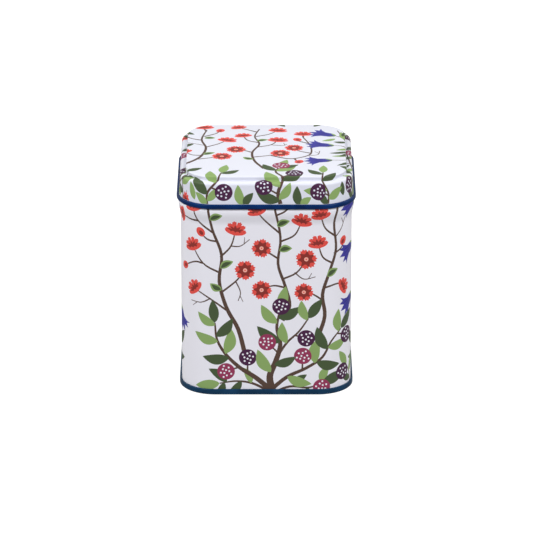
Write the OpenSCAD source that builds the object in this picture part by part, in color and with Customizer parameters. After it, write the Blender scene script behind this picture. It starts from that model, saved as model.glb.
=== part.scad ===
// Square storage tin with a slip-on lid, in thin tinplate.
// The front faces -Y, and the origin is the middle of the underside.
// Every ring of the tin is one section carried round the same rounded square. A section is drawn
// in (out, up): out is measured from the outer face of the body's wall, and up from the table.

/* [Body] */
// Width and depth of the body over its flat walls
body_w = 73; // [60:0.5:120]
// Outer radius of the body's upright corners
corner_r = 14.5; // [8:0.5:20]
// Height of the closed tin
total_h = 98.4; // [60:0.2:180]
// How far the bead below the lid stands out
bead_out = 0.95; // [0.4:0.05:1.1]
// Height of the bead's long lower flank
bead_flank_h = 6.4; // [3:0.1:10]

/* [Lid] */
// Height of the lid
lid_h = 13.4; // [12:0.2:24]
// How far the skirt's foot stands out from the body's wall
skirt_out = 0.65; // [0.55:0.05:0.9]
// How far the skirt leans in from its foot to its shoulder
skirt_lean = 0.35; // [0:0.05:0.4]
// Radius of the lid's shoulder
shoulder_r = 1.5; // [1:0.1:2.5]
// Width of the flat ledge round the raised panel
ledge_w = 0.8; // [0.2:0.1:2]
// Height of the raised panel above the ledge
panel_rise = 1.8; // [1:0.1:2.4]
// Slope of the riser round the raised panel, in degrees
riser_slope = 86; // [60:1:88]
// Width of the lid's rolled edge
curl_w = 1.27; // [1.1:0.01:1.6]
// Height of the lid's rolled edge
curl_h = 2.1; // [1.7:0.1:3]

/* [Bottom end] */
// Height of the double seam
seam_h = 2.5; // [2.3:0.1:3.2]
// How far the double seam stands out
seam_out = 0.94; // [0.9:0.02:1.2]
// Height of the bottom panel above the table
countersink = 3; // [3:0.1:8]

/* [Sheet] */
// Thickness of the tinplate
sheet_t = 0.22; // [0.18:0.01:0.22]

/* [Hidden] */

// Colours
PRINTED_WHITE = "#F2F2F7";
NAVY_LACQUER = "#1B3766";
BARE_TIN = "#B9BDC2";
COMPOUND_GREY = "#8E9189";

// The rounded square that everything follows
half_w = body_w / 2;
centre_xy = half_w - corner_r;
round_fn = 96;

// Parts of the double seam: its layers lie a seam_gap apart
seam_gap = 0.05;
half_t = sheet_t / 2;
layer = sheet_t + seam_gap;
wall_mid = -half_t;
chuck_mid = wall_mid - layer;
cover_hook_mid = wall_mid + layer;
body_hook_mid = cover_hook_mid + layer;
seam_wall_mid = seam_out - half_t;
seam_foot_r = 0.35;
chuck_top_r = 0.5;
cover_bend_r = (seam_wall_mid - cover_hook_mid) / 2;
cover_bend_z = seam_h - half_t - cover_bend_r;
body_bend_z = 0.95;
body_hook_top = 1.8;
cover_hook_end = body_bend_z + 0.1;
panel_reach = -1.4;

// Bead, neck and top edge of the body
lid_z = total_h - lid_h;
bead_crest_z = lid_z - 1.6;
bead_crest_h = 0.2;
neck_z = lid_z + 1.6;
neck_mid = -0.35 - half_t;
hem_r = 0.55;
hem_z = total_h - 4.45;
hem_turn = 250;

// Lock seam
lock_w = 4;
lock_bend_r = 0.16;
lock_z = countersink + 1.2;
groove_w = 0.3;
groove_depth = 0.1;

// Lid
skirt_foot_mid = skirt_out - half_t;
skirt_top_mid = skirt_foot_mid - skirt_lean;
shoulder_mid_r = shoulder_r - half_t;
ledge_mid_z = total_h - panel_rise - half_t;
shoulder_z = ledge_mid_z - shoulder_mid_r;
curl_top = lid_z + curl_h;
skirt_foot_z = curl_top - 0.1;
// The riser is a straight slope between two equal bends
riser_bend_r = 0.36;
riser_straight = (panel_rise - 2 * riser_bend_r * (1 - cos(riser_slope))) / sin(riser_slope);
riser_w = 2 * riser_bend_r * sin(riser_slope) + riser_straight * cos(riser_slope);
riser_foot = skirt_top_mid - shoulder_mid_r - ledge_w;
panel_edge = riser_foot - riser_w;
curl_mid_r = (curl_w - sheet_t) / 2;
curl_mid = skirt_foot_mid + curl_mid_r;
curl_low_z = lid_z + curl_mid_r + half_t;
curl_high_z = curl_top - curl_mid_r - half_t;
curl_tuck = 118;

// Points of an arc round [cx, cy], from angle a0 to a1 in n steps
function arc(cx, cy, r, a0, a1, n) =
    [for (i = [0:n]) let (a = a0 + (a1 - a0) * i / n) [cx + r * cos(a), cy + r * sin(a)]];

// Points of a smooth S from [x0, z0] to [x1, z1], upright at both ends
function ogee(x0, z0, x1, z1, n) =
    [for (i = [0:n]) [x0 + (x1 - x0) * (1 - cos(180 * i / n)) / 2, z0 + (z1 - z0) * i / n]];

function unit(v) = v / norm(v);

// Direction of a path at point i, and how much a mitre there lengthens an offset
function heading(p, i) =
    i == 0 ? unit(p[1] - p[0])
    : i == len(p) - 1 ? unit(p[i] - p[i - 1])
    : unit(unit(p[i] - p[i - 1]) + unit(p[i + 1] - p[i]));
function mitre(p, i) = i == 0 ? 1 : 1 / (heading(p, i) * unit(p[i] - p[i - 1]));
function shifted(p, i, d) = p[i] + d * mitre(p, i) * [-heading(p, i)[1], heading(p, i)[0]];

// Outline of a strip of sheet whose middle follows a path
function strip(p) =
    concat(
        [for (i = [0:len(p) - 1]) shifted(p, i, half_t)],
        [for (i = [len(p) - 1:-1:0]) shifted(p, i, -half_t)]
    );

// A section carried round the rounded square: four corners and four sides
module ring(section) {
    for (quarter = [0:3]) rotate(90 * quarter) {
        translate([centre_xy, centre_xy, 0])
            rotate_extrude(angle = 90, $fn = round_fn)
                polygon([for (p = section) [corner_r + p[0], p[1]]]);
        rotate([90, 0, 0])
            linear_extrude(height = 2 * centre_xy, center = true)
                polygon([for (p = section) [half_w + p[0], p[1]]]);
    }
}

// A flat sheet that fills the rounded square out to reach, with its middle at height z
module panel(reach, z) {
    wide = 2 * (half_w + reach);
    straight = 2 * centre_xy;
    translate([0, 0, z - half_t])
        linear_extrude(height = sheet_t) {
            square([wide, straight], center = true);
            square([straight, wide], center = true);
            for (x = [-centre_xy, centre_xy], y = [-centre_xy, centre_xy])
                translate([x, y]) circle(r = corner_r + reach, $fn = round_fn);
        }
}

// Printed side wall: hook in the bottom seam, wall, bead, neck and inward rolled top edge
module body_wall() {
    path = concat(
        [[body_hook_mid, body_hook_top]],
        arc(cover_hook_mid, body_bend_z, layer, 0, -180, 10),
        ogee(wall_mid, bead_crest_z - bead_flank_h, bead_out - half_t, bead_crest_z, 16),
        ogee(bead_out - half_t, bead_crest_z + bead_crest_h, neck_mid, neck_z, 12),
        arc(neck_mid - hem_r, hem_z, hem_r, 0, hem_turn, 14)
    );
    color(PRINTED_WHITE)
        difference() {
            ring(strip(path));
            // Hairline where the sheet's two edges meet at the back
            translate([-groove_w / 2, half_w - groove_depth, seam_h + 0.2])
                cube([groove_w, 1, bead_crest_z - bead_flank_h - seam_h - 0.4]);
        }
}

// The two inner layers of the lock seam, folded flat against the inside of the back
module side_seam() {
    first_layer = half_w - sheet_t - half_t;
    second_layer = first_layer - 2 * lock_bend_r;
    path = concat(
        [[-lock_w / 2, first_layer]],
        arc(lock_w / 2 - lock_bend_r, first_layer - lock_bend_r, lock_bend_r, 90, -90, 10),
        [[-lock_w / 2 + 2 * lock_bend_r, second_layer]]
    );
    color(BARE_TIN)
        translate([0, 0, lock_z])
            linear_extrude(height = bead_crest_z - bead_flank_h - lock_z)
                polygon(strip(path));
}

// Bottom end: countersunk panel, chuck wall and the wrap of the double seam
module base_end() {
    path = concat(
        [[panel_reach, countersink]],
        arc(chuck_mid - chuck_top_r, countersink - chuck_top_r, chuck_top_r, 90, 0, 6),
        arc(chuck_mid + seam_foot_r, half_t + seam_foot_r, seam_foot_r, 180, 270, 6),
        arc(seam_wall_mid - seam_foot_r, half_t + seam_foot_r, seam_foot_r, -90, 0, 6),
        arc(cover_hook_mid + cover_bend_r, cover_bend_z, cover_bend_r, 0, 180, 10),
        [[cover_hook_mid, cover_hook_end]]
    );
    color(NAVY_LACQUER) {
        ring(strip(path));
        panel(panel_reach, countersink);
    }
}

// Sealing compound under the body's hook, in the foot of the double seam
module seam_compound() {
    bead_r = 0.1;
    bead_z = 0.4;
    from = chuck_mid + seam_foot_r;
    to = seam_wall_mid - seam_foot_r;
    color(COMPOUND_GREY)
        ring(concat(
            arc(from, bead_z, bead_r, 270, 90, 8),
            arc(to, bead_z, bead_r, 90, -90, 8)
        ));
}

// Printed lid: skirt, shoulder, ledge, riser and raised panel
module lid_shell() {
    riser_top_z = total_h - half_t;
    path = concat(
        [[skirt_foot_mid, skirt_foot_z]],
        arc(skirt_top_mid - shoulder_mid_r, shoulder_z, shoulder_mid_r, 0, 90, 10),
        arc(riser_foot, ledge_mid_z + riser_bend_r, riser_bend_r, 270, 270 - riser_slope, 6),
        arc(panel_edge, riser_top_z - riser_bend_r, riser_bend_r, 90 - riser_slope, 90, 6)
    );
    color(PRINTED_WHITE) {
        ring(strip(path));
        panel(panel_edge, riser_top_z);
    }
}

// Rolled lower edge of the lid, open by a hair where its raw edge tucks against the skirt
module lid_curl() {
    path = concat(
        [[skirt_foot_mid, skirt_foot_z]],
        arc(curl_mid, curl_low_z, curl_mid_r, 180, 360, 12),
        arc(curl_mid, curl_high_z, curl_mid_r, 0, curl_tuck, 8)
    );
    color(NAVY_LACQUER) ring(strip(path));
}

body_wall();
side_seam();
base_end();
seam_compound();
lid_shell();
lid_curl();
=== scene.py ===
"""Looks of a square slip-lid storage tin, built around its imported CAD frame.

The print is drawn flat, in millimetres, as outlines in a few inks. Each drawing is cut into
triangles of one ink each and wrapped on to the sheet metal: the body's along its side wall, the
lid's over its panel, ledge and skirt. So every printed edge is a real edge of the mesh.
"""

import math

import bmesh
import bpy
import numpy
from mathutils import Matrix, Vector
from mathutils.geometry import delaunay_2d_cdt


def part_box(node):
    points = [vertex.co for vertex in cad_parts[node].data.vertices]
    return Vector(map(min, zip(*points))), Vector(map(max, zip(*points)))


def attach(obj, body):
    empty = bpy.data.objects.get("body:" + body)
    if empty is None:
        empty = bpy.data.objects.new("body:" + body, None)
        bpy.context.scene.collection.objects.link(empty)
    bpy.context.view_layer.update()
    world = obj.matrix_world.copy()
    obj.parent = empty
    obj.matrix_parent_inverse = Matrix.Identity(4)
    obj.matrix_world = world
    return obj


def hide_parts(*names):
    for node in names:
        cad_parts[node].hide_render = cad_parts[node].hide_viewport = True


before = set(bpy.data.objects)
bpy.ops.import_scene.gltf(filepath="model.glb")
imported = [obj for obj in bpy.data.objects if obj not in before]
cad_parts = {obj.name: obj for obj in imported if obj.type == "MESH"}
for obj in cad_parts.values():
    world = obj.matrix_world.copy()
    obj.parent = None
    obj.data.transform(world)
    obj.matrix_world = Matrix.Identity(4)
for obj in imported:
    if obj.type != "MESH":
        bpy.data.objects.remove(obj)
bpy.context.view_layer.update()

MM = 0.001


# -------------------- sizes, in millimetres

def top_of(node):
    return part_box(node)[1].z / MM


def foot_of(node):
    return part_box(node)[0].z / MM


def reach_of(node):
    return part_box(node)[1].x / MM


# Rounded square that everything follows. A section's "out" is measured from the wall's outer face.
SEAM_OUT = 0.94
HALF_W = reach_of("base_end") - SEAM_OUT
CORNER_R = 14.5
CORE = HALF_W - CORNER_R
QUARTER = 2 * CORE + CORNER_R * math.pi / 2
GIRTH = 4 * QUARTER

SHEET_T = 0.22
HALF_T = SHEET_T / 2
SEAM_GAP = 0.05
LAYER = SHEET_T + SEAM_GAP

# Heights and reaches of the closed tin
TOTAL_H = top_of("lid_shell")
LID_Z = foot_of("lid_curl")
CURL_TOP = top_of("lid_curl")
CURL_OUT = reach_of("lid_curl") - HALF_W
BODY_TOP = top_of("body_wall")

# Body: hook in the bottom seam, bead below the lid, neck inside the lid and rolled top edge
HOOK_MID = -HALF_T + 2 * LAYER
HOOK_TOP = 1.8
BEND_Z = 0.95
BEAD_OUT = 0.95
BEAD_CREST_Z = LID_Z - 1.6
BEAD_CREST_END = BEAD_CREST_Z + 0.2
BEAD_FOOT_Z = BEAD_CREST_Z - 6.4
NECK_OUT = -0.35
NECK_Z = LID_Z + 1.6
HEM_R = 0.55
HEM_Z = BODY_TOP - HEM_R - HALF_T
HEM_TURN = 250

# Bottom end: countersunk panel, chuck wall and the wrap of the double seam
SEAM_H = 2.5
COUNTERSINK_Z = 3
PANEL_REACH = -1.4
CHUCK_MID = -HALF_T - LAYER
CHUCK_TOP_R = 0.5
SEAM_FOOT_R = 0.35
SEAM_WALL_MID = SEAM_OUT - HALF_T
COVER_HOOK_MID = -HALF_T + LAYER
COVER_BEND_R = (SEAM_WALL_MID - COVER_HOOK_MID) / 2
COVER_BEND_Z = SEAM_H - HALF_T - COVER_BEND_R

# Lid: raised panel, riser, ledge, shoulder and skirt, then the rolled edge
PANEL_RISE = 1.8
RISER_R = 0.36
RISER_TURN = 86
LEDGE_W = 0.8
SHOULDER_R = 1.5
SKIRT_FOOT_OUT = 0.65
SKIRT_TOP_OUT = 0.3
SKIRT_FOOT_Z = CURL_TOP - 0.1
LEDGE_Z = TOTAL_H - PANEL_RISE
SHOULDER_Z = LEDGE_Z - SHOULDER_R
RISER_FOOT = SKIRT_TOP_OUT - SHOULDER_R - LEDGE_W
RISER_COS = math.cos(math.radians(RISER_TURN))
RISER_SIN = math.sin(math.radians(RISER_TURN))
RISER_STRAIGHT = (PANEL_RISE - 2 * RISER_R * (1 - RISER_COS)) / RISER_SIN
PANEL_EDGE = RISER_FOOT - 2 * RISER_R * RISER_SIN - RISER_STRAIGHT * RISER_COS
CURL_R = (CURL_OUT - SKIRT_FOOT_OUT) / 2
CURL_MID = SKIRT_FOOT_OUT + CURL_R - HALF_T
CURL_TUCK = 118

# Between these heights the riser's ground is a greyer copy of the ground ink: painted shade on the
# upright riser
RISER_SHADE_LOW_Z = LEDGE_Z + 0.04
RISER_SHADE_HIGH_Z = TOTAL_H - 0.5

# Hairline where the body's two edges meet at the back
GROOVE_HALF = 0.15
GROOVE_DEPTH = 0.1
GROOVE_EDGE = 0.02
GROOVE_LOW_Z = SEAM_H + 0.2
GROOVE_HIGH_Z = BEAD_FOOT_Z - 0.2

# Where the print stops: at heights on the body, and this far from the sheets' edges
PRINT_LOW_Z = 1.5
PRINT_HIGH_Z = NECK_Z - 0.3
BACK_MARGIN = 1.2
LID_MARGIN = 0.1

# How finely the metal is cut: steps round the tin, then along each bend
CORNER_STEPS = 30
SIDE_STEPS = 4
FLANK_STEPS = 16
NECK_STEPS = 12
HEM_STEPS = 14
HOOK_STEPS = 10
BEND_STEPS = 8
SHOULDER_STEPS = 12
COVER_STEPS = 12
CURL_STEPS = 18
TUCK_STEPS = 14


# -------------------- inks

# Places of a sheet's materials: its inks, bare metal and a greyer copy of the ground, painted shade on
# the riser
GROUND, LIGHT, DARK, BARK, RED, MAROON, PINK, PURPLE, MAGENTA, BLUE, INDIGO, BARE, RISER_PAINTED_SHADE = range(13)


# -------------------- drawing

def point(x, y):
    return Vector((x, y))


def polar(radius, angle):
    return point(radius * math.cos(angle), radius * math.sin(angle))


def left_of(direction):
    return point(-direction.y, direction.x)


def smooth(points):
    """A rounded path through the points."""
    steps = 5
    knots = [point(*p) for p in points]
    knots = [2 * knots[0] - knots[1]] + knots + [2 * knots[-1] - knots[-2]]
    path = []
    for a, b, c, d in zip(knots, knots[1:], knots[2:], knots[3:]):
        for i in range(steps):
            t = i / steps
            bend = 2 * a - 5 * b + 4 * c - d
            twist = 3 * b - a - 3 * c + d
            path.append((2 * b + (c - a) * t + bend * t**2 + twist * t**3) / 2)
    return path + [knots[-2]]


def along(path, share):
    """Point and heading at this share of a path."""
    at = share * (len(path) - 1)
    i = min(int(at), len(path) - 2)
    return path[i].lerp(path[i + 1], at - i), (path[i + 1] - path[i]).normalized()


def rotated(direction, degrees):
    cos, sin = math.cos(math.radians(degrees)), math.sin(math.radians(degrees))
    return point(cos * direction.x - sin * direction.y, sin * direction.x + cos * direction.y)


def shares(steps):
    return [i / steps for i in range(steps)]


class Pen:
    """Draws outlines in ink on a flat sheet, each over the ones before it."""

    def __init__(self, shapes, x=0, y=0, turn=0, mirror=1):
        self.shapes = shapes
        self.origin = point(x, y)
        self.turn = turn
        self.mirror = mirror

    def fill(self, ink, outline):
        mirrored = [point(p[0] * self.mirror, p[1]) for p in outline]
        self.shapes.append((ink, [self.origin + rotated(p, self.turn) for p in mirrored]))

    def disc(self, ink, middle, radius, steps=12):
        self.fill(ink, [middle + polar(radius, math.tau * t) for t in shares(steps)])

    def stem(self, points, start_w, end_w):
        """A stem that narrows from its first point to its last."""
        path = smooth(points)
        left, right = [], []
        for i, at in enumerate(path):
            heading = (path[min(i + 1, len(path) - 1)] - path[max(i - 1, 0)]).normalized()
            half = (start_w + (end_w - start_w) * i / (len(path) - 1)) / 2
            left.append(at + left_of(heading) * half)
            right.append(at - left_of(heading) * half)
        self.fill(BARK, left + right[::-1])

    def leaf(self, base, tip, width, ink, bow=0.06):
        """A full leaf with a short point, bowed to its left."""
        base, tip = point(*base), point(*tip)
        along_leaf = tip - base
        across = left_of(along_leaf)
        sides = {1: [], -1: []}
        for t in shares(11) + [1]:
            spine = base + along_leaf * t + across * bow * math.sin(math.pi * t)
            half = width / 2 * abs(math.sin(math.pi * t**0.85)) ** 0.85
            for side, points in sides.items():
                points.append(spine + across.normalized() * half * side)
        self.fill(ink, sides[1][:-1] + sides[-1][:0:-1])

    def shaded_leaf(self, base, tip, width=3.4):
        """A small light leaf with a dark blade inside it."""
        bow = 0.08
        base, tip = point(*base), point(*tip)
        self.leaf(base, tip, width, LIGHT, bow)
        self.leaf(base.lerp(tip, 0.06), base.lerp(tip, 0.86), width * 0.56, DARK, bow)

    def berry(self, x, y, ink):
        """A round berry with white seeds that fill it evenly."""
        middle = point(x, y)
        radius, seed_r, seeds = 3.8, 0.44, 10
        self.disc(ink, middle, radius, 26)
        seeded_r = radius * 0.76
        golden_turn = math.pi * (3 - math.sqrt(5))
        for k in range(seeds):
            seed = middle + polar(seeded_r * math.sqrt((k + 0.4) / seeds), golden_turn * k + x)
            self.disc(GROUND, seed, seed_r, 8)

    def open_blossom(self, x, y, radius, turn):
        """A blossom seen from the front: seven crimped petals round a dark heart."""
        middle = point(x, y)
        petals, teeth = 7, 3
        cleft, petal_rise, tooth_rise = 0.69, 0.25, 0.06
        heart_r, crease_rise = 0.52, 0.26
        outer, heart = [], []
        for t in shares(126):
            angle = math.tau * t
            petal = abs(math.cos(petals * angle / 2)) ** 0.4
            tooth = math.cos(petals * teeth * angle)
            reach = cleft + petal_rise * petal + tooth_rise * tooth
            outer.append(middle + polar(radius * reach, angle + turn))
        self.fill(RED, outer)
        for t in shares(56):
            angle = math.tau * t
            crease = math.sin(petals * angle / 2) ** 4
            heart.append(middle + polar(radius * (heart_r + crease_rise * crease), angle + turn))
        self.fill(MAROON, heart)
        self.disc(PINK, middle, radius * 0.2)
        self.disc(RED, middle, radius * 0.08, 8)

    def cup_blossom(self, x, y, width, lean):
        """A blossom seen from the side: a fan of petals, a dark throat and a scalloped lip."""
        middle = point(x, y)
        half = width / 2

        def place(u, v):
            return middle + rotated(point(u, v), lean) * half

        petals, teeth = 5, 3
        cleft, petal_rise, tooth_rise = 0.56, 0.38, 0.05
        outline = []
        for t in shares(84):
            angle = math.tau * t
            petal = abs(math.cos(petals * angle)) ** 0.4
            tooth = math.cos(2 * petals * teeth * angle)
            fan = cleft + petal_rise * petal + tooth_rise * tooth
            up = angle < math.pi
            reach, height = (fan, 0.95) if up else (0.94, 0.48)
            outline.append(place(1.04 * reach * math.cos(angle), height * reach * math.sin(angle)))
        self.fill(RED, outline)
        creases, crease_rise = 11, 0.18
        throat = []
        for t in shares(44):
            angle = math.tau * t
            reach = 0.56 + (crease_rise * math.cos(creases * angle) if angle < math.pi else 0)
            throat.append(place(1.15 * reach * math.cos(angle), 0.7 * reach * math.sin(angle) - 0.05))
        self.fill(MAROON, throat)
        folds = 4
        lip = []
        for t in shares(24) + [1]:
            fold = abs(math.sin(folds * math.pi * t)) ** 0.5
            lip.append(place(0.8 - 1.6 * t, 0.14 * fold - 0.1 - 0.12 * math.sin(math.pi * t)))
        bowl = [place(1.6 * t - 0.8, -0.18 - 0.3 * math.sin(math.pi * t)) for t in shares(12) + [1]]
        self.fill(RED, lip + bowl)

    def bud(self, x, y, lean, length):
        """A closed bud with a dark side."""
        for ink, drop, tall, wide in ((RED, 0, 0.5, 0.4), (MAROON, 0.1, 0.24, 0.17)):
            angles = [math.tau * t for t in shares(16)]
            ring = [point(wide * math.cos(a), tall * math.sin(a) - drop) for a in angles]
            self.fill(ink, [point(x, y) + rotated(p, lean) * length for p in ring])

    def bell(self, x, y, lean, length=11):
        """A bellflower that opens along its axis, with streaked petals and flared tips."""
        axis = polar(length, math.radians(lean))
        side = left_of(axis)
        base = point(x, y)
        # Shares of the length: how far along the axis, and how far to its side
        half = [(0, 0.08), (0.22, 0.18), (0.48, 0.21), (0.66, 0.34), (0.78, 0.5)]
        half += [(0.75, 0.3), (0.95, 0.29), (0.78, 0.12)]
        outline = half + [(1.04, 0.0)] + [(t, -w) for t, w in half[::-1]]
        self.fill(BLUE, [base + axis * t + side * w for t, w in outline])
        for spread in (-0.16, 0, 0.16):
            streak = [(0.16, 0.3 * spread), (0.5, spread * 0.7 + 0.025), (0.86, spread * 1.25)]
            streak += [(0.5, spread * 0.7 - 0.025)]
            self.fill(INDIGO, [base + axis * t + side * w for t, w in streak])
        for spread, ink in ((-0.19, LIGHT), (0.19, DARK)):
            self.leaf(base - axis * 0.03, base + axis * 0.24 + side * spread, length * 0.09, ink, 0)

    def twig(self, points):
        """A bare twig with a short side shoot near its end."""
        width = 0.6
        shoot_at, shoot_turn, shoot_length = 0.7, 45, 3
        self.stem(points, width, width * 0.5)
        fork, heading = along(smooth(points), shoot_at)
        self.stem([fork, fork + rotated(heading, shoot_turn) * shoot_length], width * 0.6, width * 0.4)

    def spray(self, points, start_w, end_w, leaves, berries=()):
        """A stem with leaves and berries at shares of it, on its left (1), right (-1) or ahead (0)."""
        leaf_turn, leaf_slimness, stalk_turn = 48, 0.42, 60
        self.stem(points, start_w, end_w)
        path = smooth(points)
        for share, side, length, ink in leaves:
            base, heading = along(path, share)
            tip = base + rotated(heading, leaf_turn * side) * length
            self.leaf(base, tip, length * leaf_slimness, ink, 0.08 * side)
        for share, side, stalk, ink in berries:
            base, heading = along(path, share)
            middle = base + rotated(heading, stalk_turn * side) * stalk
            self.stem([base, middle], start_w=0.8, end_w=0.6)
            self.berry(*middle, ink)

    def branch(self, points, start_w, end_w, arms):
        """A bare branch with arms: each is its points, and the kind, size and lean of its blossom."""
        self.stem(points, start_w, end_w)
        for arm, _, _, _ in arms:
            self.stem(arm, start_w=0.9, end_w=0.5)
        for arm, blossom, size, lean in arms:
            if blossom == "open":
                self.open_blossom(*arm[-1], size / 2, lean)
            elif blossom == "cup":
                self.cup_blossom(*arm[-1], size, lean)
            else:
                self.bud(*arm[-1], lean, size)


# -------------------- plants

def berry_bush(pen):
    """A low bush with broad leaves and seeded berries, rooted near the origin."""
    pen.spray(
        [(2, 0), (10, 3.5), (18, 3), (24, 5)], 1.3, 0.6,
        [(0.4, 1, 8, DARK), (0.62, -1, 8, DARK), (0.98, 1, 9, LIGHT), (1, 0, 12, DARK)],
        [(0.9, -1, 2, MAGENTA)],
    )
    pen.spray(
        [(1, 1.5), (-6, 5), (-13, 6), (-20, 5)], 1.3, 0.6,
        [
            (0.35, -1, 8, LIGHT), (0.55, 1, 8, DARK), (0.85, -1, 10, DARK),
            (1, 0, 11, LIGHT), (0.9, 1, 8, DARK),
        ],
    )
    pen.spray(
        [(2, 2), (9, 8), (17, 12), (24, 17), (28, 24), (33, 29)], 1.9, 0.6,
        [
            (0.2, -1, 11, LIGHT), (0.5, 1, 11.5, LIGHT), (0.52, -1, 11, DARK),
            (0.7, 1, 11.5, DARK), (0.72, -1, 10, LIGHT), (0.95, 1, 10.5, LIGHT),
            (1, 0, 10.5, DARK),
        ],
        [(0.36, 1, 6.5, MAGENTA), (0.92, -1, 6, PURPLE)],
    )
    pen.spray(
        [(2, 2), (-5, 8), (-11, 12), (-17, 18), (-21, 25), (-22, 33)], 2.4, 0.7,
        [
            (0.56, 1, 11.5, DARK), (0.62, -1, 12, LIGHT), (0.78, 1, 11, LIGHT), (0.84, -1, 11, DARK),
            (1, 0, 10.5, DARK), (0.97, 1, 9.5, LIGHT),
        ],
        [(0.3, -1, 7, PURPLE), (0.42, 1, 6, MAGENTA)],
    )
    pen.spray(
        [(3, 0), (1.5, 8), (4, 15), (6, 23), (4.5, 31), (6, 39)], 3.4, 0.8,
        [
            (0.26, 1, 12, LIGHT), (0.36, -1, 10, DARK), (0.62, 1, 12.5, DARK),
            (0.84, 1, 11, LIGHT), (0.9, -1, 11, DARK), (1, 0, 11, LIGHT),
        ],
        [(0.5, 1, 7, MAGENTA), (1, 0, 1.5, PURPLE)],
    )
    pen.spray(
        [(5, 18), (9, 24), (14, 29), (18, 35)], 1.2, 0.6,
        [(0.3, 1, 10, LIGHT), (1, 0, 10.5, DARK), (0.95, 1, 9.5, LIGHT)],
        [(0.55, -1, 5, PURPLE)],
    )
    pen.spray(
        [(41, 0), (40, 6), (37, 11)], 1, 0.5,
        [(0.3, 1, 8, DARK), (0.6, -1, 9, LIGHT), (1, 0, 9, LIGHT)],
        [(0.8, 1, 4, PURPLE)],
    )


def blossom_tree(pen):
    """Three tall branches with red blossoms, buds and bare twigs, standing behind the bush."""
    pen.branch(
        [(-9, 18), (-12, 30), (-17, 40), (-20, 52), (-19, 64), (-23, 76), (-25, 88)], 2, 0.9,
        [
            ([(-16, 38), (-24, 44), (-31, 48)], "cup", 8.6, 45),
            ([(-19, 47), (-13, 52), (-9, 57)], "open", 9.2, 0.3),
            ([(-20, 56), (-27, 60), (-32, 67)], "cup", 9, 20),
            ([(-27, 60), (-31, 60), (-37, 57)], "bud", 4.4, 110),
            ([(-19.5, 63), (-15, 68), (-13, 75)], "cup", 9.4, -12),
            ([(-22.5, 74), (-29, 79), (-31, 85)], "cup", 8, 10),
            ([(-29, 79), (-33, 79), (-38, 80)], "cup", 7.6, 80),
            ([(-20.5, 70), (-25, 71), (-28, 74)], "bud", 4.6, 40),
        ],
    )
    pen.branch(
        [(7, 34), (10, 41), (8, 50), (5, 60), (6, 72), (3, 88)], 1.6, 0.9,
        [
            ([(8.5, 49), (3, 50), (-2, 48)], "open", 9, 0.8),
            ([(7, 53), (13, 56), (17, 62)], "open", 9.4, 0.1),
            ([(5.5, 62), (1, 65), (-2, 67)], "open", 8.8, 0.5),
            ([(6, 70), (12, 73), (15, 79)], "cup", 9.2, -14),
            ([(5.5, 74), (0, 79), (-4, 84)], "cup", 8.4, 16),
            ([(4, 82), (8, 84), (11, 87)], "cup", 7, -10),
        ],
    )
    pen.branch(
        [(22, 26), (25, 36), (24, 46), (27, 56), (30, 66), (29, 78), (31, 88)], 1.8, 0.9,
        [
            ([(24.5, 43), (20, 46), (16, 47)], "open", 8.6, 0.7),
            ([(25, 49), (31, 50), (34, 48)], "cup", 8.4, -62),
            ([(28, 60), (24, 63), (22, 69)], "cup", 8.8, 8),
            ([(29, 64), (33, 66), (34, 69)], "bud", 4.4, -30),
            ([(29.5, 72), (25, 76), (23, 82)], "cup", 8.4, 12),
        ],
    )
    for twig in (
        [(-15, 68), (-11, 68), (-7, 71)],
        [(-13, 52), (-11, 47), (-12, 43)],
        [(12, 56), (16, 53), (21, 54)],
        [(29.3, 71), (33, 75), (35, 80)],
        [(-24, 44), (-28, 42), (-33, 42)],
    ):
        pen.twig(twig)
    for base, tip in (
        ((-19.6, 58), (-14, 61)), ((-24, 80), (-18.5, 82)), ((-19, 48), (-24, 51)),
        ((5.5, 66), (11, 67)), ((26, 54), (31, 57)), ((4.5, 77), (10, 79.5)),
    ):
        pen.shaded_leaf(base, tip)


def bell_plant(pen, arms):
    """A tall plant with narrow leaves and bellflowers on its arms: (height, side, droop) each."""
    pen.stem([(0, 0), (1.5, 14), (0, 30), (1, 48), (-1, 66), (1, 88)], 1.8, 0.8)
    for height, side, droop in arms:
        tip = (side * 24, height - 1)
        path = [(0, height - 16), (side * 9, height - 4), (side * 17, height), tip]
        pen.stem(path, 0.8, 0.4)
        pen.bell(*tip, 90 - side * (90 + droop))
        for share, turn, ink in ((0.3, 40, LIGHT), (0.5, -40, DARK), (0.72, 40, LIGHT)):
            base, heading = along(smooth(path), share)
            pen.leaf(base, base + rotated(heading, turn) * 7, 2.2, ink)
    for level in range(4, 88, 9):
        for side, ink in ((-1, DARK), (1, LIGHT)):
            pen.leaf((0.5, level), (0.5 + side * 7, level + 5), 2.4, ink)
    for side in (-1, 1):
        pen.spray(
            [(side * 2, 0), (side * 9, 5), (side * 16, 9), (side * 22, 16)], 1.3, 0.6,
            [
                (0.3, side, 10, DARK), (0.42, -side, 10, LIGHT), (0.72, side, 11, LIGHT),
                (0.78, -side, 10, DARK), (1, 0, 10, DARK), (0.95, side, 9, LIGHT),
            ],
            [(0.6, side, 6.5, PURPLE if side > 0 else MAGENTA)],
        )
        pen.branch(
            [(side * 2, 26), (side * 7, 34), (side * 11, 45), (side * 12, 52)], 0.8, 0.5,
            [
                ([(side * 12, 50), (side * 13, 57)], "cup", 8.4, side * -12),
                ([(side * 9, 39), (side * 13, 42), (side * 17, 46)], "bud", 4.6, side * -40),
            ],
        )


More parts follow.
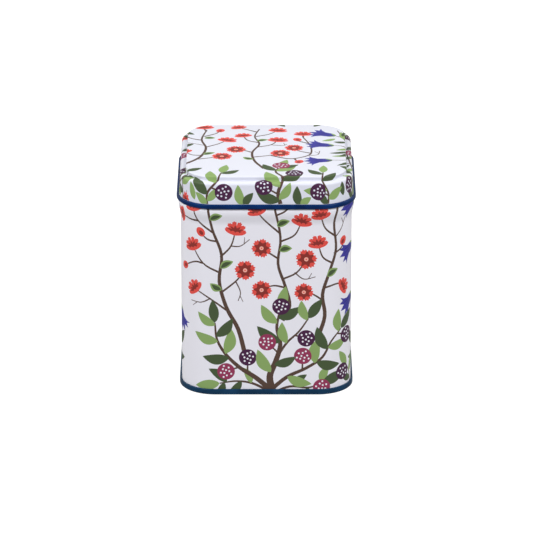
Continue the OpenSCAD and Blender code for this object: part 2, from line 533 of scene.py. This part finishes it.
def lid_border(pen):
    """Berries and broad leaves on the lid's skirt, growing up from its edge. Up is towards +Y."""
    for x, lean in ((-29, 1), (0, -1), (24, 1)):
        pen.spray(
            [(x, -47.5), (x + lean, -43), (x + 4 * lean, -38)], 1.2, 0.6,
            [(0.15, 1, 8, DARK), (0.2, -1, 8.5, LIGHT), (0.7, 1, 8, LIGHT), (1, 0, 8, DARK)],
            [(0.5, lean, 5, PURPLE if x else MAGENTA)],
        )
        pen.twig([(x + 12, -47.5), (x + 13, -43), (x + 11, -38)])
        pen.cup_blossom(x + 13, -42, 7.5, 10 * lean)


def lid_front(pen):
    """The lid's front edge: sprays that climb its skirt and reach over its ledge on to the panel."""
    pen.spray(
        [(-44, -34), (-39, -30), (-34, -27)], 1.2, 0.6,
        [(0.2, 1, 8, DARK), (0.5, -1, 8, LIGHT), (1, 0, 8, DARK)],
    )
    pen.spray(
        [(-27, -47), (-26, -42), (-21, -37), (-19, -29)], 1.6, 0.6,
        [
            (0.05, 1, 9, LIGHT), (0.3, 1, 12, DARK), (0.12, -1, 9, LIGHT), (0.62, 1, 11, LIGHT),
            (0.95, -1, 9, DARK), (1, 0, 10, LIGHT),
        ],
        [(0.5, -1, 6, PURPLE)],
    )
    pen.spray(
        [(6, -47), (5, -42), (7, -35), (4, -28), (6, -21)], 1.8, 0.7,
        [
            (0.06, 1, 11, DARK), (0.1, -1, 9, LIGHT), (0.34, 1, 13, LIGHT), (0.46, -1, 11, DARK),
            (0.8, 1, 10, DARK), (0.78, -1, 11, LIGHT), (1, 0, 9, LIGHT), (0.95, -1, 9, DARK),
        ],
        [(0.22, 1, 7, PURPLE), (0.52, -1, 7, PURPLE), (1, 0, 1, MAGENTA)],
    )
    for base, tip, width, ink in (
        ((-10, -48), (-12, -38.5), 4, LIGHT), ((-9.5, -48), (-5.5, -42), 3.4, DARK),
        ((14, -48), (13, -39), 3.8, DARK), ((14.5, -48), (19, -44), 3.2, LIGHT),
        ((-35, -42), (-33, -34), 3.8, LIGHT), ((38, -38), (33, -34), 3.6, DARK),
    ):
        pen.leaf(base, tip, width, ink)
    pen.spray(
        [(29, -47), (28, -42), (24, -37), (24, -29)], 1.4, 0.6,
        [
            (0.05, 1, 9, DARK), (0.2, -1, 10, LIGHT), (0.45, 1, 11, LIGHT), (0.7, -1, 9, DARK),
            (0.9, 1, 9, DARK), (1, 0, 9, LIGHT),
        ],
        [(0.3, 1, 6, PURPLE)],
    )


def lid_branches(pen):
    """Blossoming branches over the lid's panel."""
    pen.branch(
        [(-40, -22), (-33, -16), (-28, -8), (-26, 3), (-28, 14), (-26, 27)], 1.6, 0.7,
        [
            ([(-30, -12), (-24, -10), (-19, -8)], "open", 9.2, 0.2),
            ([(-27.5, -7), (-32, -6), (-35, -2)], "cup", 7.4, 35),
            ([(-26, 4), (-21, 8), (-17, 13)], "cup", 9, -22),
            ([(-28, 13), (-33, 16), (-36, 21)], "cup", 7, 25),
            ([(-27, 18), (-22, 22), (-20, 26)], "bud", 4.6, -20),
            ([(-26, 25), (-27, 28), (-27, 30)], "cup", 8.6, 4),
        ],
    )
    pen.branch(
        [(-1, -24), (-5, -14), (-6, -3), (-3, 8), (-5, 18), (-3, 28)], 1.3, 0.6,
        [
            ([(-5.5, -9), (1, -7), (6, -4)], "open", 9.2, 0.4),
            ([(-6, -3), (-10, 0), (-13, 1)], "open", 9, 0.9),
            ([(-4, 4), (2, 7), (5, 13)], "cup", 9.4, -10),
            ([(-3.5, 10), (-8, 13), (-10, 19)], "cup", 8, 14),
            ([(-4.5, 18), (1, 21), (5, 26)], "cup", 8.6, -12),
            ([(-4, 24), (-8, 27), (-12, 30)], "cup", 7.4, 20),
        ],
    )
    pen.branch(
        [(2, -7), (9, -11), (14, -10), (19, -5), (19, 6), (16, 17)], 1, 0.6,
        [
            ([(12, -11), (13, -14), (14, -15)], "bud", 4.6, -30),
            ([(19, -4), (14, -1), (12, 3)], "open", 8.6, 0.3),
            ([(18, 9), (14, 12), (13.5, 14)], "bud", 4.6, 20),
            ([(16, 17), (16, 19), (16, 21)], "cup", 8.4, -4),
        ],
    )
    for twig in (
        [(-26, 6), (-30, 8), (-34, 10)],
        [(2, 7), (7, 6), (9, 8)],
        [(18, -7), (22, -6), (23, -1)],
    ):
        pen.twig(twig)
    for base, tip in (
        ((-27, -6), (-22, -3)), ((-27, 16), (-22, 16)), ((-5.5, -12), (-10, -9)),
        ((-4, 12), (1, 14)), ((19, 4), (23.5, 8)),
    ):
        pen.shaded_leaf(base, tip, 3)


def lid_bells(pen):
    """Bellflowers that lean in from the lid's right edge, among narrow leaves."""
    pen.stem([(42, -30), (38, -16), (36, 0), (34, 14), (31, 26)], 0.9, 0.5)
    for path, lean in (
        ([(35, 10), (33, 16), (30, 19)], 156),
        ([(36, 0), (33, 5), (29, 6)], 170),
        ([(37, -12), (33, -13), (28, -13)], 186),
    ):
        pen.stem(path, 0.6, 0.4)
        pen.bell(*path[-1], lean, 12)
    narrow_leaves = [
        ((30, 15), (24, 12), LIGHT), ((35, 10), (29, 11), DARK), ((36, 2), (30, 0), LIGHT),
        ((36, -2), (27, -4), DARK), ((37, -6), (28, -8), LIGHT), ((37, -14), (30, -20), DARK),
        ((38, -18), (33, -25), LIGHT), ((35, 13), (32.5, 24), LIGHT), ((36, 5), (41, 12), DARK),
        ((37, -4), (43, 2), LIGHT), ((33, 18), (37, 26), DARK), ((38, -14), (44, -8), DARK),
    ]
    for base, tip, ink in narrow_leaves:
        pen.leaf(base, tip, 2.6, ink)


# -------------------- the two printed sheets, drawn flat

def body_drawing():
    """The side wall's print, unrolled: x is the distance from the front's middle, y the height."""
    shapes = []
    right_arms = ((84, -1, 12), (64, -1, 20), (41, -1, 30), (78, 1, 20), (56, 1, 30), (30, 1, 45))
    left_arms = ((35, -1, 65), (84, 1, 15), (62, 1, 25), (44, 1, 40), (20, 1, 50))
    bell_plant(Pen(shapes, QUARTER, SEAM_H), right_arms)
    bell_plant(Pen(shapes, -QUARTER, SEAM_H, mirror=-1), left_arms)
    for x, mirror in ((-2 * QUARTER, -1), (0, 1), (2 * QUARTER, -1)):
        pen = Pen(shapes, x, 0, mirror=mirror)
        blossom_tree(pen)
        berry_bush(pen)
    return shapes


def lid_drawing():
    """The lid's print, seen from above with its skirt folded flat."""
    shapes = []
    pen = Pen(shapes)
    lid_branches(pen)
    lid_bells(pen)
    for turn in (90, 180, 270):
        lid_border(Pen(shapes, turn=turn))
    lid_front(pen)
    return shapes


# -------------------- cutting a drawing into triangles

def clipped(outline, window):
    """The part of an outline inside a convex window that runs counter-clockwise."""
    for a, b in zip(window, window[1:] + window[:1]):
        inward = left_of(b - a).normalized()
        depths = [(p - a).dot(inward) for p in outline]
        kept = []
        lines = zip(outline, outline[1:] + outline[:1], depths, depths[1:] + depths[:1])
        for p, q, from_edge, to_edge in lines:
            if from_edge >= 0:
                kept.append(p)
            if (from_edge < 0) != (to_edge < 0):
                kept.append(p.lerp(q, from_edge / (from_edge - to_edge)))
        outline = kept
        if len(outline) < 3:
            return []
    return outline


def signed_area(outline):
    return sum(p.x * q.y - q.x * p.y for p, q in zip(outline, outline[1:] + outline[:1])) / 2


def inside(outline, spots):
    """Which of the spots, an array of x and y, lie inside an outline."""
    x, y = spots[:, 0], spots[:, 1]
    hits = numpy.zeros(len(spots), bool)
    for a, b in zip(outline, outline[1:] + outline[:1]):
        if a.y != b.y:
            crosses = (a.y > y) != (b.y > y)
            hits ^= crosses & (x < a.x + (y - a.y) * (b.x - a.x) / (b.y - a.y))
    return hits


def cut(shapes, print_edge, guides):
    """Triangles of one ink each: returns their points, their corners and their inks.

    Guides are lines that the triangles follow. The outermost ones are the edge of the whole sheet.
    """
    outlines = [(ink, clipped(outline, print_edge)) for ink, outline in shapes]
    outlines = [(ink, outline) for ink, outline in outlines if outline]
    points, edges = [], []
    for line in guides + [outline + outline[:1] for _, outline in outlines]:
        start = len(points)
        points.extend(line)
        edges.extend((start + i, start + i + 1) for i in range(len(line) - 1))
    merge_within = 0.004
    points, _, triangles, _, _, _ = delaunay_2d_cdt(points, edges, [], 0, merge_within, False)
    upright = [c if signed_area([points[i] for i in c]) > 0 else c[::-1] for c in triangles]
    spots = numpy.array([sum((points[i] for i in c), point(0, 0)) / 3 for c in upright])
    inks = numpy.full(len(spots), GROUND)
    for ink, outline in outlines:
        low, high = numpy.min(outline, axis=0), numpy.max(outline, axis=0)
        near = numpy.flatnonzero(((spots > low) & (spots < high)).all(axis=1))
        inks[near[inside(outline, spots[near])]] = ink
    return points, upright, inks.tolist()


# -------------------- sections and surfaces

def arc(x, y, radius, start, end, steps):
    """Points of an arc round (x, y), with its angles in degrees."""
    angles = [math.radians(start + (end - start) * i / steps) for i in range(steps + 1)]
    return [point(x + radius * math.cos(a), y + radius * math.sin(a)) for a in angles]


def right_of(direction):
    return point(direction.y, -direction.x)


def section_leans(section):
    """Normals of a section, to its right, at both ends of each line. They turn sharply at edges."""
    flats = [right_of(b - a).normalized() for a, b in zip(section, section[1:])]
    sharp = math.cos(math.radians(40))
    leans = []
    for i, flat in enumerate(flats):
        before = flats[i - 1] if i > 0 else flat
        after = flats[i + 1] if i + 1 < len(flats) else flat
        start = (before + flat).normalized() if before.dot(flat) > sharp else flat
        end = (after + flat).normalized() if after.dot(flat) > sharp else flat
        leans.append((start, end))
    return leans


def around(distance):
    """Foot on the core square and outward direction, this far along the wall from mid-front."""
    quarter, past_corner = divmod(distance + CORE, QUARTER)
    corner_angle = max(0, past_corner - 2 * CORE) / CORNER_R
    turn = quarter * math.pi / 2
    cos, sin = math.cos(turn), math.sin(turn)

    def turned(x, y):
        return point(cos * x - sin * y, sin * x + cos * y)

    foot = turned(min(past_corner, 2 * CORE) - CORE, -CORE)
    return foot, turned(math.sin(corner_angle), -math.cos(corner_angle))


def placed(foot, out, reach, z):
    """The point at a reach and a height, outwards from a foot on the core square."""
    at = foot + out * (CORNER_R + reach)
    return Vector((at.x, at.y, z))


def tilted(out, lean):
    """An (out, up) direction of a section, where the wall faces out."""
    return Vector((out.x * lean.x, out.y * lean.x, lean.y))


def ring_columns():
    """Distances along the wall at which every ring has vertices, once round from the back's middle."""
    one_side = [2 * CORE * i / SIDE_STEPS - CORE for i in range(SIDE_STEPS)]
    one_side += [CORE + CORNER_R * math.pi / 2 * i / CORNER_STEPS for i in range(CORNER_STEPS)]
    start = -GIRTH / 2
    columns = {round((q + QUARTER * k - start) % GIRTH + start, 6) for k in range(4) for q in one_side}
    return sorted((columns - {round(start, 6)}) | {start, -start})


COLUMNS = ring_columns()


class Shell:
    """Faces with a normal at each corner and a material each, joined into one closed mesh."""

    def __init__(self):
        self.points = []
        self.faces = []
        self.normals = []
        self.paints = []

    def add(self, corners, normals, paint):
        """One face from its corners' positions, counter-clockwise from outside."""
        start = len(self.points)
        self.points.extend(p * MM for p in corners)
        self.faces.append(tuple(range(start, len(self.points))))
        self.normals.extend(n.normalized() for n in normals)
        self.paints.append(paint)

    def sweep(self, section, paint):
        """Carries a section of (out, up) points round the tin. The outside is on its right."""
        places = [around(s) for s in COLUMNS]
        for a, b, (lean_a, lean_b) in zip(section, section[1:], section_leans(section)):
            for (foot, out), (next_foot, next_out) in zip(places, places[1:]):
                corners = [placed(foot, out, *a), placed(next_foot, next_out, *a)]
                corners += [placed(next_foot, next_out, *b), placed(foot, out, *b)]
                normals = [tilted(out, lean_a), tilted(next_out, lean_a)]
                normals += [tilted(next_out, lean_b), tilted(out, lean_b)]
                self.add(corners, normals, paint)

    def panel(self, reach, z, up, paint):
        """Fills the ring at this reach and height with a flat face that looks up or down."""
        rim = [placed(*around(s), reach, z) for s in COLUMNS[:-1]]
        self.add(rim if up else rim[::-1], [Vector((0, 0, 1 if up else -1))] * len(rim), paint)

    def build(self, name, materials):
        mesh = bpy.data.meshes.new(name)
        mesh.from_pydata(self.points, [], self.faces)
        for material in materials:
            mesh.materials.append(material)
        mesh.polygons.foreach_set("material_index", self.paints)
        mesh.polygons.foreach_set("use_smooth", [True] * len(self.faces))
        facing = mesh.attributes.new("facing", "FLOAT_VECTOR", "CORNER")
        facing.data.foreach_set("vector", [c for n in self.normals for c in n])
        merge_within = 0.001 * MM
        work = bmesh.new()
        work.from_mesh(mesh)
        bmesh.ops.remove_doubles(work, verts=work.verts, dist=merge_within)
        work.to_mesh(mesh)
        work.free()
        mesh.normals_split_custom_set([d.vector.copy() for d in mesh.attributes["facing"].data])
        mesh.attributes.remove(mesh.attributes["facing"])
        piece = bpy.data.objects.new(name, mesh)
        bpy.context.scene.collection.objects.link(piece)
        return piece


class Face:
    """The printed side of a section: finds the section's point and normal at a mark along it."""

    def __init__(self, marks, section, side):
        """The side is 1 where the outside is on the section's right, and -1 on its left."""
        self.marks = marks
        self.section = section
        self.leans = [(start * side, end * side) for start, end in section_leans(section)]

    def at(self, mark):
        """(out, up) and normal at this mark."""
        last = len(self.marks) - 2
        i = next((k for k in range(last) if mark <= self.marks[k + 1]), last)
        share = (mark - self.marks[i]) / (self.marks[i + 1] - self.marks[i])
        lean = self.leans[i][0].lerp(self.leans[i][1], share)
        return self.section[i].lerp(self.section[i + 1], share), lean


# -------------------- printed body

def swell(share):
    """A smooth rise from 0 to 1, level at both ends."""
    return (1 - math.cos(math.pi * share)) / 2


def wall_rise(shift):
    """The body's wall from its bottom bend to its neck, moved out by shift."""
    rows = [point(shift, BEND_Z)]
    for i in range(FLANK_STEPS + 1):
        reach = BEAD_OUT * swell(i / FLANK_STEPS)
        rows.append(point(shift + reach, BEAD_FOOT_Z + (BEAD_CREST_Z - BEAD_FOOT_Z) * i / FLANK_STEPS))
    for i in range(NECK_STEPS + 1):
        reach = BEAD_OUT + (NECK_OUT - BEAD_OUT) * swell(i / NECK_STEPS)
        rows.append(point(shift + reach, BEAD_CREST_END + (NECK_Z - BEAD_CREST_END) * i / NECK_STEPS))
    return rows + [point(shift + NECK_OUT, HEM_Z)]


def printed_body(materials):
    """The side wall's sheet, printed outside and bare inside."""
    outer = wall_rise(0)
    heights = [p.y for p in outer]
    face = Face(heights, outer, 1)
    edge = GIRTH / 2
    guides = [[point(s, heights[0]), point(s, heights[-1])] for s in COLUMNS]
    for groove_side in (edge - GROOVE_HALF - GROOVE_EDGE, edge - GROOVE_HALF):
        for s in (-groove_side, groove_side):
            guides.append([point(s, GROOVE_LOW_Z), point(s, GROOVE_HIGH_Z)])
    groove_rows = [GROOVE_LOW_Z, GROOVE_LOW_Z + GROOVE_EDGE, GROOVE_HIGH_Z - GROOVE_EDGE, GROOVE_HIGH_Z]
    guides += [[point(-edge, z), point(edge, z)] for z in heights + groove_rows]
    right = edge - BACK_MARGIN
    print_edge = [point(-right, PRINT_LOW_Z), point(right, PRINT_LOW_Z)]
    print_edge += [point(right, PRINT_HIGH_Z), point(-right, PRINT_HIGH_Z)]
    points, triangles, inks = cut(body_drawing(), print_edge, guides)

    shell = Shell()
    spots, normals = [], []
    for p in points:
        (reach, z), lean = face.at(p.y)
        if abs(p.x) > edge - GROOVE_HALF - GROOVE_EDGE / 2 and GROOVE_LOW_Z < z < GROOVE_HIGH_Z:
            reach -= GROOVE_DEPTH
        foot, out = around(p.x)
        spots.append(placed(foot, out, reach, z))
        normals.append(tilted(out, lean))
    for corners, ink in zip(triangles, inks):
        shell.add([spots[c] for c in corners], [normals[c] for c in corners], ink)

    inner = wall_rise(-SHEET_T)[::-1]
    hem_out = NECK_OUT - HALF_T - HEM_R
    hem = arc(hem_out, HEM_Z, HEM_R + HALF_T, 0, HEM_TURN, HEM_STEPS)
    hem_inside = arc(hem_out, HEM_Z, HEM_R - HALF_T, HEM_TURN, 0, HEM_STEPS)
    hook = arc(COVER_HOOK_MID, BEND_Z, LAYER + HALF_T, 180, 360, HOOK_STEPS)
    hook += [point(HOOK_MID + HALF_T, HOOK_TOP), point(HOOK_MID - HALF_T, HOOK_TOP)]
    hook += arc(COVER_HOOK_MID, BEND_Z, LAYER - HALF_T, 360, 180, HOOK_STEPS)
    shell.sweep(hem, GROUND)
    shell.sweep(hem[-1:] + hem_inside + inner[1:] + hook[1:], BARE)
    return shell.build("printed_body", materials)


# -------------------- printed lid

def lid_sheet(side):
    """The lid's section from panel to skirt, on its outer (1) or inner (-1) side."""
    half = side * HALF_T
    riser_top, ledge_mid = TOTAL_H - HALF_T, LEDGE_Z - HALF_T
    upper = arc(PANEL_EDGE, riser_top - RISER_R, RISER_R + half, 90, 90 - RISER_TURN, BEND_STEPS)
    lower = arc(RISER_FOOT, ledge_mid + RISER_R, RISER_R - half, 270 - RISER_TURN, 270, BEND_STEPS)
    shoulder_out = SKIRT_TOP_OUT - SHOULDER_R
    shoulder = arc(shoulder_out, SHOULDER_Z, SHOULDER_R - HALF_T + half, 90, 0, SHOULDER_STEPS)
    foot = point(SKIRT_FOOT_OUT - HALF_T + half, SKIRT_FOOT_Z)
    return upper + lower + shoulder + [foot]


def printed_lid(materials):
    """The lid's sheet without its rolled edge, printed outside and bare inside."""
    outer = lid_sheet(1)
    section = [point(-CORNER_R, TOTAL_H)] + outer
    marks = [0]
    for a, b in zip(section, section[1:]):
        marks.append(marks[-1] + (b - a).length)
    face = Face(marks, section, -1)
    reach_to = marks[-1]
    places = [around(s) for s in COLUMNS]
    guides = [[foot + out * mark for foot, out in places] for mark in marks[1:]]
    guides += [[foot + out * marks[1], foot + out * reach_to] for foot, out in places[:-1]]
    print_edge = [foot + out * (reach_to - LID_MARGIN) for foot, out in places[:-1]]
    points, triangles, inks = cut(lid_drawing(), print_edge, guides)

    shell = Shell()
    spots, normals = [], []
    for p in points:
        foot = point(min(max(p.x, -CORE), CORE), min(max(p.y, -CORE), CORE))
        mark = min((p - foot).length, reach_to)
        out = (p - foot).normalized()
        (reach, z), lean = face.at(mark)
        spots.append(placed(foot, out, reach, z) if mark > 0 else Vector((p.x, p.y, z)))
        normals.append(tilted(out, lean))
    for corners, ink in zip(triangles, inks):
        middle = sum((spots[c] for c in corners), Vector()) / 3
        # Plain ground on the riser takes the greyer copy of the ground ink: painted shade
        if ink == GROUND and RISER_SHADE_LOW_Z < middle.z < RISER_SHADE_HIGH_Z:
            ink = RISER_PAINTED_SHADE
        shell.add([spots[c] for c in corners], [normals[c] for c in corners], ink)
    shell.panel(PANEL_EDGE, TOTAL_H - SHEET_T, False, BARE)
    shell.sweep(lid_sheet(-1) + [outer[-1]], BARE)
    return shell.build("printed_lid", materials)


# -------------------- lacquered edges

def curl_path(side):
    """The left (1) or right (-1) face of the rolled edge, from the skirt's foot to the raw edge."""
    half = side * HALF_T
    path = [point(CURL_MID - CURL_R + half, SKIRT_FOOT_Z)]
    path += arc(CURL_MID, LID_Z + CURL_R + HALF_T, CURL_R - half, 180, 360, CURL_STEPS)
    return path + arc(CURL_MID, CURL_TOP - CURL_R - HALF_T, CURL_R - half, 0, CURL_TUCK, TUCK_STEPS)


def base_path(side):
    """The upper (1) or lower (-1) face of the bottom, down its chuck wall and round the seam."""
    half = side * HALF_T
    path = [point(PANEL_REACH, COUNTERSINK_Z + half)]
    top_z, foot_z = COUNTERSINK_Z - CHUCK_TOP_R, HALF_T + SEAM_FOOT_R
    path += arc(CHUCK_MID - CHUCK_TOP_R, top_z, CHUCK_TOP_R + half, 90, 0, BEND_STEPS)
    path += arc(CHUCK_MID + SEAM_FOOT_R, foot_z, SEAM_FOOT_R - half, 180, 270, BEND_STEPS)
    path += arc(SEAM_WALL_MID - SEAM_FOOT_R, foot_z, SEAM_FOOT_R - half, 270, 360, BEND_STEPS)
    path += arc(COVER_HOOK_MID + COVER_BEND_R, COVER_BEND_Z, COVER_BEND_R - half, 0, 180, COVER_STEPS)
    return path + [point(COVER_HOOK_MID + half, BEND_Z + 0.1)]


def rolled_edge(material):
    """The lid's lacquered lower edge, rolled outwards."""
    shell = Shell()
    right, left = curl_path(-1), curl_path(1)
    shell.sweep(right + left[::-1] + right[:1], 0)
    return shell.build("rolled_edge", [material])


def bottom_end(lacquer, tinplate):
    """The bottom: countersunk panel, chuck wall and seam, lacquered below and bare inside the tin."""
    shell = Shell()
    below, above = base_path(-1), base_path(1)
    bend_end = BEND_STEPS + 1
    shell.sweep(below + above[:bend_end - 1:-1], 0)
    shell.sweep(above[bend_end::-1], 1)
    shell.panel(PANEL_REACH, COUNTERSINK_Z + HALF_T, True, 1)
    shell.panel(PANEL_REACH, COUNTERSINK_Z - HALF_T, False, 0)
    return shell.build("bottom_end", [lacquer, tinplate])


# -------------------- materials

def linear(hex_colour):
    """A #RRGGBB colour as linear numbers with alpha."""
    parts = [int(hex_colour[i:i + 2], 16) / 255 for i in (1, 3, 5)]
    return [p / 12.92 if p <= 0.04045 else ((p + 0.055) / 1.055) ** 2.4 for p in parts] + [1]


class Surface:
    """A node material whose roughness and relief vary over the metal."""

    def __init__(self, name, colour, roughness, metallic=0.0, specular=0.5, coat=0.0):
        self.material = bpy.data.materials.new(name)
        self.material.use_nodes = True
        self.tree = self.material.node_tree
        self.shader = self.tree.nodes["Principled BSDF"]
        self.shader.inputs["Base Color"].default_value = linear(colour)
        self.shader.inputs["Metallic"].default_value = metallic
        self.shader.inputs["Specular IOR Level"].default_value = specular
        self.shader.inputs["Coat Weight"].default_value = coat
        self.shader.inputs["Coat Roughness"].default_value = 0.12
        self.place = self.tree.nodes.new("ShaderNodeTexCoord").outputs["Object"]
        self.vary_roughness(roughness)

    def noise(self, size, stretch=(1, 1, 1), detail=2):
        """Noise with features of this size in millimetres, stretched along an axis if asked."""
        mapping = self.tree.nodes.new("ShaderNodeMapping")
        mapping.inputs["Scale"].default_value = [1 / s for s in stretch]
        self.tree.links.new(self.place, mapping.inputs["Vector"])
        texture = self.tree.nodes.new("ShaderNodeTexNoise")
        texture.inputs["Scale"].default_value = 1 / (size * MM)
        texture.inputs["Detail"].default_value = detail
        self.tree.links.new(mapping.outputs["Vector"], texture.inputs["Vector"])
        return texture.outputs["Fac"]

    def vary_roughness(self, roughness):
        """Spreads the roughness to both sides of its mean by a noise."""
        size, spread = 3, 0.25
        span = self.tree.nodes.new("ShaderNodeMapRange")
        span.inputs["To Min"].default_value = roughness * (1 - spread)
        span.inputs["To Max"].default_value = roughness * (1 + spread)
        self.tree.links.new(self.noise(size), span.inputs["Value"])
        self.tree.links.new(span.outputs["Result"], self.shader.inputs["Roughness"])

    def vary_colour(self, height, dark, light):
        """Colours the surface from dark to light by a noise."""
        ramp = self.tree.nodes.new("ShaderNodeValToRGB")
        for stop, position, colour in zip(ramp.color_ramp.elements, (0.3, 0.7), (dark, light)):
            stop.position = position
            stop.color = linear(colour)
        self.tree.links.new(height, ramp.inputs["Fac"])
        self.tree.links.new(ramp.outputs["Color"], self.shader.inputs["Base Color"])

    def relief(self, *layers):
        """Bumps from (noise, depth in millimetres) layers, each on top of the last."""
        normal = None
        for height, depth in layers:
            bump = self.tree.nodes.new("ShaderNodeBump")
            bump.inputs["Distance"].default_value = depth * MM
            self.tree.links.new(height, bump.inputs["Height"])
            if normal:
                self.tree.links.new(normal, bump.inputs["Normal"])
            normal = bump.outputs["Normal"]
        self.tree.links.new(normal, self.shader.inputs["Normal"])


def printed(name, colour):
    """Ink under a satin varnish with a faint orange peel."""
    surface = Surface("print_" + name, colour, 0.34, specular=0.22)
    surface.relief((surface.noise(14, detail=1), 0.05), (surface.noise(0.7), 0.0016))
    return surface.material


def bare_tinplate():
    """Bright tinplate with the faint lines of rolling, inside the tin."""
    surface = Surface("bare_tinplate", "#D6D7D8", 0.42, metallic=0.6)
    surface.relief((surface.noise(0.5, stretch=(1, 1, 30)), 0.002))
    return surface.material


def seam_tinplate():
    """The same tinplate on the folded seam, where it is scuffed by the folding."""
    surface = Surface("seam_tinplate", "#D6D7D8", 0.42, metallic=0.6)
    streaks = surface.noise(0.4, stretch=(1, 1, 30))
    surface.vary_colour(streaks, "#C6C8CA", "#DCDDDE")
    surface.relief((streaks, 0.002))
    return surface.material


def navy_lacquer(name, dark, light):
    """Glossy navy lacquer, slightly uneven over the bends."""
    surface = Surface(name, light, 0.3, specular=0.1, coat=0.05)
    surface.vary_colour(surface.noise(5), dark, light)
    surface.relief((surface.noise(1.2), 0.004))
    return surface.material


def sealing_compound():
    """Dull grey rubber sealing compound."""
    surface = Surface("sealing_compound", "#85888A", 0.7)
    surface.vary_colour(surface.noise(0.8), "#7C7F81", "#8E9193")
    surface.relief((surface.noise(0.3), 0.01))
    return surface.material


INK_COLOURS = (
    ("ground", "#EEEDF6"),
    ("light_green", "#8BA867"),
    ("dark_green", "#4A5A3D"),
    ("bark", "#59453C"),
    ("red", "#E4524A"),
    ("maroon", "#8C3631"),
    ("pink", "#F9B3A4"),
    ("purple", "#4A2646"),
    ("magenta", "#953A5B"),
    ("blue", "#3E3C9C"),
    ("indigo", "#292876"),
)


# -------------------- pieces

inks = [printed(name, colour) for name, colour in INK_COLOURS]
tinplate = bare_tinplate()
body_materials = inks + [tinplate]
# The lid's ground is a darker, bluer copy of the body's ground ink: painted shade for the lid's skirt,
# which takes less light
lid_ground_painted_shade = printed("lid_ground_painted_shade", "#DEE0ED")
# A greyer copy of the lid's ground ink, painted shade on the riser
riser_painted_shade = printed("riser_painted_shade", "#CDCFDE")
lid_materials = [lid_ground_painted_shade] + inks[1:] + [tinplate, riser_painted_shade]
rim_navy = navy_lacquer("rim_navy", "#02214E", "#062E66")
bottom_navy = navy_lacquer("bottom_navy", "#10304A", "#183E5E")
for piece, body, slot, node in (
    (printed_body(body_materials), "tin", "printed_sheet", "body_wall"),
    (bottom_end(bottom_navy, tinplate), "tin", "navy_lacquer", "base_end"),
    (printed_lid(lid_materials), "lid", "printed_sheet", "lid_shell"),
    (rolled_edge(rim_navy), "lid", "navy_lacquer", "lid_curl"),
):
    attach(piece, body)
    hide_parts(node)
for node, material in (("side_seam", seam_tinplate()), ("seam_compound", sealing_compound())):
    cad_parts[node].material_slots[0].material = material


# -------------------- floor, lights and camera

def emitter(name, strength, diffuse=0.0):
    """A matt material that also gives off white light."""
    material = bpy.data.materials.new(name)
    material.use_nodes = True
    shader = material.node_tree.nodes["Principled BSDF"]
    shader.inputs["Base Color"].default_value = (diffuse, diffuse, diffuse, 1)
    shader.inputs["Roughness"].default_value = 1
    shader.inputs["Specular IOR Level"].default_value = 0
    shader.inputs["Emission Color"].default_value = (1, 1, 1, 1)
    shader.inputs["Emission Strength"].default_value = strength
    return material


def stage_piece(name, build, material):
    """A piece of the studio: build adds its faces to an empty mesh."""
    mesh = bpy.data.meshes.new(name)
    work = bmesh.new()
    build(work)
    work.to_mesh(mesh)
    work.free()
    mesh.materials.append(material)
    piece = bpy.data.objects.new(name, mesh)
    bpy.context.scene.collection.objects.link(piece)
    return piece


# The floor and the backdrop are seen by the camera, but throw no light on the tin
FLOOR_GAP = 0.0002
floor = stage_piece(
    "floor",
    lambda work: bmesh.ops.create_grid(work, x_segments=1, y_segments=1, size=4),
    emitter("floor_white", 0.9, diffuse=0.3),
)
floor.location.z = -FLOOR_GAP
floor.visible_diffuse = False
floor.visible_glossy = False
dome = stage_piece(
    "backdrop",
    lambda work: bmesh.ops.create_icosphere(work, subdivisions=4, radius=5.5),
    emitter("backdrop_white", 1.0),
)
dome.visible_diffuse = False
dome.visible_glossy = False
dome.visible_shadow = False


WHITE = (1, 1, 1)
WARM = (1, 0.97, 0.78)
TIN_MIDDLE = Vector((0, 0, 0.05))


def area_light(name, position, size, watts, colour=WHITE):
    """A round soft light that is aimed at the tin and not seen itself."""
    light = bpy.data.lights.new(name, "AREA")
    light.shape = "DISK"
    light.size = size
    light.energy = watts
    light.color = colour
    lamp = bpy.data.objects.new(name, light)
    lamp.location = position
    lamp.rotation_euler = (TIN_MIDDLE - Vector(position)).to_track_quat("-Z", "Y").to_euler()
    lamp.visible_camera = False
    bpy.context.scene.collection.objects.link(lamp)


area_light("front_left", (-1.05, -1.17, 1.4), 1.0, 22.4)
area_light("front_right", (1.1, -1.12, 1.4), 1.0, 21.8)
area_light("left", (-1.75, 0.1, 0.85), 1.0, 6.6)
area_light("right", (1.75, 0.1, 0.85), 1.0, 6.2)
area_light("top_left", (-0.9, 0.4, 1.6), 1.2, 1.4, WARM)
area_light("top_right", (0.9, 0.4, 1.6), 1.2, 1.4, WARM)
area_light("back_left", (-1.3, 1.2, 1.0), 1.7, 6.4, WARM)
area_light("back_right", (1.3, 1.2, 1.0), 1.7, 6.4, WARM)

world = bpy.data.worlds.new("studio")
bpy.context.scene.world = world
world.use_nodes = True
background = world.node_tree.nodes["Background"]
background.inputs["Color"].default_value = (1, 1, 1, 1)
background.inputs["Strength"].default_value = 0.31

# Camera at the photograph's angle
ELEVATION = math.radians(20.9)
DISTANCE = 1.627
AIM = Vector((0.0001, 0, 0.0448))
camera = bpy.data.objects.new("camera", bpy.data.cameras.new("camera"))
camera.data.lens = 252.4
camera.data.clip_end = 20
camera.location = AIM + DISTANCE * Vector((0, -math.cos(ELEVATION), math.sin(ELEVATION)))
camera.rotation_euler = (math.pi / 2 - ELEVATION, 0, 0)
bpy.context.scene.collection.objects.link(camera)
bpy.context.scene.camera = camera
bpy.context.scene.view_settings.view_transform = "Standard"
